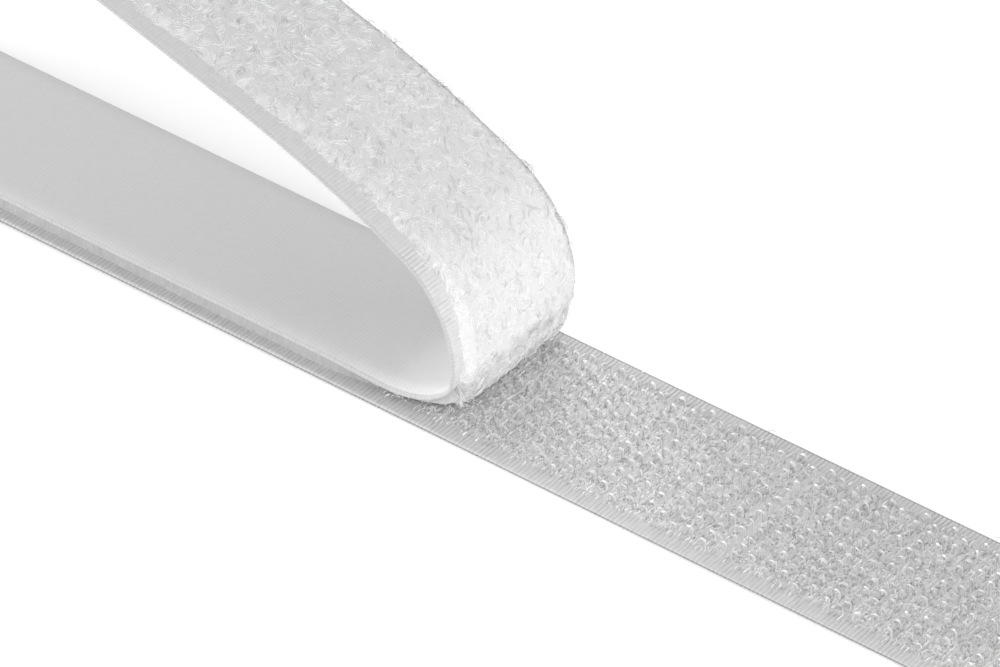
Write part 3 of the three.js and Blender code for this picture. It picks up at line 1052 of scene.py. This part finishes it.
def all_filaments():
    """Every filament of the pile, as arrays of tape coordinates and roots."""
    made = []
    rng = np.random.default_rng(FILAMENT_SEED)
    for start, end, density in ((0.0, LIFT_OFF, STUCK_DENSITY), (LIFT_OFF, TAPE_LENGTH, OPEN_DENSITY)):
        s, y, drawn = strewn(rng, start, end, density)
        y = np.where(s < FLUSH_UNTIL, np.maximum(y, pile_near(s) + NEAR_BARE), y)
        made.append(bundles(rng, s, y, STREWN_KIND, np.where(drawn, TUFT_TALLER, 1.0)))
    # The held pile's far border.
    count = int(STUCK_UNTIL * HELD_STRIP * HELD_DENSITY)
    s = rng.uniform(0, STUCK_UNTIL, count)
    y = pile_far(s) - HELD_STRIP * rng.random(count)
    made.append(bundles(rng, s, y, HELD_KIND))
    # The wedge where the tape lifts off.
    count = int((WEDGE[1] - WEDGE[0]) * (PILE_FAR - PILE_NEAR) * WEDGE_DENSITY)
    s = rng.uniform(*WEDGE, count)
    inner = pile_near(s) + NEAR_BARE
    y = inner + (pile_far(s) - inner) * rng.random(count)
    made.append(bundles(rng, s, y, WEDGE_KIND))
    # The free pile's near border.
    s = tuft_places(rng, STUCK_UNTIL, *BORDER_TUFTS)
    y = pile_near(s) + np.abs(rng.normal(*BORDER_TUFT_INSET, len(s)))
    made.append(bundles(rng, s, y, BORDER_TUFT_KIND))
    count = int((TAPE_LENGTH - STUCK_UNTIL) * BORDER_BUNDLES)
    s = rng.uniform(STUCK_UNTIL, TAPE_LENGTH, count)
    y = pile_near(s) + rng.uniform(0, BORDER_REACH, count)
    made.append(bundles(rng, s, y, BORDER_KIND))
    # The free pile's far border.
    count = int((TAPE_LENGTH - OPEN_FROM) * FAR_LOOPS)
    s = rng.uniform(OPEN_FROM, TAPE_LENGTH, count)
    y = LOOP_WIDTH / 2 - rng.uniform(0, FAR_LOOP_REACH, count)
    made.append(bundles(rng, s, y, FAR_LOOP_KIND))
    s = tuft_places(rng, OPEN_FROM, *FAR_TUFTS)
    y = LOOP_WIDTH / 2 - rng.uniform(0, FAR_TUFT_REACH, len(s))
    made.append(bundles(rng, s, y, FAR_TUFT_KIND))
    # One tuft at the foot of the curl.
    s = CURL_TUFT[0] + rng.normal(0, CURL_TUFT_SPREAD[0], CURL_TUFT_BUNDLES)
    y = CURL_TUFT[1] + rng.normal(0, CURL_TUFT_SPREAD[1], CURL_TUFT_BUNDLES)
    made.append(bundles(rng, s, y, CURL_TUFT_KIND))
    return [np.concatenate(column) for column in zip(*made)]


def filament_piece(rng, name, s, y, depth):
    """One piece of filaments from their tape coordinates."""
    lines = on_tape(s, squeezed(s, y, depth), depth)
    lines[..., 2] = np.maximum(lines[..., 2], PILE_FLOOR)
    thick = FILAMENT / 2 * rng.uniform(*FILAMENT_THICKNESS, len(s))
    shade = rng.choice(len(pile_materials), len(s), p=FILAMENT_SHADES)
    piece = yarn_object(name, lines, thick, shade, pile_materials)
    return piece


def filament_pieces():
    """The filaments of each span, and those of the drawn-out pile."""
    made = [[] for _ in HINGES]
    rng = np.random.default_rng(FILAMENT_LOOK_SEED)
    s, y, depth, root = all_filaments()
    drawn = (root > DRAWN[0]) & (root < DRAWN[1])
    # No filament crosses the end of the drawn-out pile: what would cross is folded back.
    folded = DRAWN[1] + np.where(root < DRAWN[1], -1, 1)[:, None] * np.abs(s - DRAWN[1])
    depth = depth + felt_top(folded, y) - felt_top(s, y)
    s = folded
    span_of = np.clip(np.searchsorted(SEAMS, root, side="right") - 1, 0, len(HINGES) - 1)
    for span in range(len(HINGES)):
        mine = np.flatnonzero((span_of == span) & ~drawn)
        mine = mine[np.argsort(root[mine])]
        parts = math.ceil(len(mine) / MOST_IN_A_PIECE)
        for part in np.array_split(mine, max(1, parts)):
            if len(part) == 0:
                continue
            name = f"loop_pile_{span + 1}_{len(made[span]) + 1}"
            piece = filament_piece(rng, name, s[part], y[part], depth[part])
            bend_with_tape(piece, span)
            made[span].append(piece)
    piece = filament_piece(rng, "loop_pile_drawn", s[drawn], y[drawn], depth[drawn])
    draw_with_tape(piece)
    return made, piece


hook_web = hook_web_piece()
hooks = hook_pieces() + stitch_pieces()
loop_webs = [loop_web_piece(span) for span in range(len(HINGES))]
felts = [felt_piece(span) for span in range(len(HINGES))]
filaments, drawn_filaments = filament_pieces()
felts_drawn = [drawn_felt_piece(), drawn_filaments]

# Lists of the loop tape's pieces, one for each long span; the spans too short to stand alone go with the long
# span before them.
long_spans = [i for i in range(len(HINGES)) if SEAMS[i + 1] - SEAMS[i] > SHORTEST_SHEET]
for place, span in enumerate(long_spans):
    until = long_spans[place + 1] if place + 1 < len(long_spans) else len(HINGES)
    along = []
    for i in range(span, until):
        along += ([] if i == span else [loop_webs[i]]) + [felts[i]] + filaments[i]
        along += felts_drawn if i == LINKS.index("stuck") else []


# Floor, light and camera.
def floor_piece():
    """A white floor that glows a little where the camera sees it, also by reflection or through a wire."""
    mesh = bpy.data.meshes.new("floor")
    corners = [(x * FLOOR_HALF, y * FLOOR_HALF, 0) for x, y in ((-1, -1), (1, -1), (1, 1), (-1, 1))]
    mesh.from_pydata(corners, [], [(0, 1, 2, 3)])
    piece = new_object("floor", mesh)
    piece.location = (0, 0, -FLOOR_DROP)
    material, tree, main = shader("floor", roughness=0.9, specular=0.1)
    set_inputs(main, Base_Color=grey(FLOOR_SHADE), Emission_Color=grey(1))
    path = tree.nodes.new("ShaderNodeLightPath").outputs
    seen = math_node(tree, "ADD", path["Is Camera Ray"], path["Is Glossy Ray"])
    seen = math_node(tree, "ADD", seen, path["Is Transmission Ray"])
    glow = math_node(tree, "MULTIPLY", seen, FLOOR_GLOW)
    tree.links.new(glow, main.inputs["Emission Strength"])
    mesh.materials.append(material)


def lamp_piece(data, place, aim, power):
    """A lamp of the given kind at a place, turned to its aim."""
    data.energy = power
    lamp = new_object(data.name, data)
    lamp.location = place
    lamp.rotation_euler = (Vector(aim) - Vector(place)).to_track_quat("-Z", "Y").to_euler()
    return lamp


def area_lamp(name, place, face, power):
    """A lamp with a rectangular face of a width and a height, aimed at the part."""
    data = bpy.data.lights.new(name, "AREA")
    data.shape = "RECTANGLE"
    data.size, data.size_y = face
    return lamp_piece(data, place, LAMP_AIM, power)


def spot_lamp(name, place, aim, cone, size, power):
    """A spot with a wholly soft edge; cone is its full angle in degrees and size the radius of its face."""
    data = bpy.data.lights.new(name, "SPOT")
    data.spot_size = math.radians(cone)
    data.spot_blend = 1.0
    data.shadow_soft_size = size
    return lamp_piece(data, place, aim, power)


def camera_piece():
    """The camera, looking at its target from an azimuth and an elevation."""
    data = bpy.data.cameras.new("camera")
    data.lens = CAMERA_LENS
    data.clip_start, data.clip_end = CAMERA_CLIP
    camera = new_object("camera", data)
    a = math.radians(CAMERA_AZIMUTH)
    e = math.radians(CAMERA_ELEVATION)
    back = Vector((math.sin(a) * math.cos(e), -math.cos(a) * math.cos(e), math.sin(e)))
    camera.location = CAMERA_TARGET + back * CAMERA_DISTANCE
    camera.rotation_euler = back.to_track_quat("Z", "Y").to_euler()
    scene.camera = camera


floor_piece()
camera_piece()
area_lamp("right_lamp", (1.0, 0.1, 0.34), face=(1.0, 0.3), power=9.3)
area_lamp("front_lamp", (0.25, -0.9, 0.75), face=(1.0, 1.0), power=4.0)
area_lamp("low_front_lamp", (0.35, -0.9, 0.1), face=(0.9, 0.14), power=5.2)
area_lamp("left_lamp", (-0.9, -0.35, 0.08), face=(0.9, 0.14), power=13.0)
spot_lamp("foot_lamp", (0.5, -0.3, 0.5), aim=(0.014, 0.002, 0.001), cone=2.6, size=0.01, power=7.5)
glint = area_lamp("glint_lamp", (-0.46, 0.59, 0.47), face=(0.48, 0.48), power=26.0)
glint.visible_diffuse = False
world = bpy.data.worlds.new("world")
world.use_nodes = True
set_inputs(world.node_tree.nodes["Background"], Color=grey(1), Strength=WORLD_STRENGTH)
scene.world = world
scene.view_settings.view_transform = "Standard"
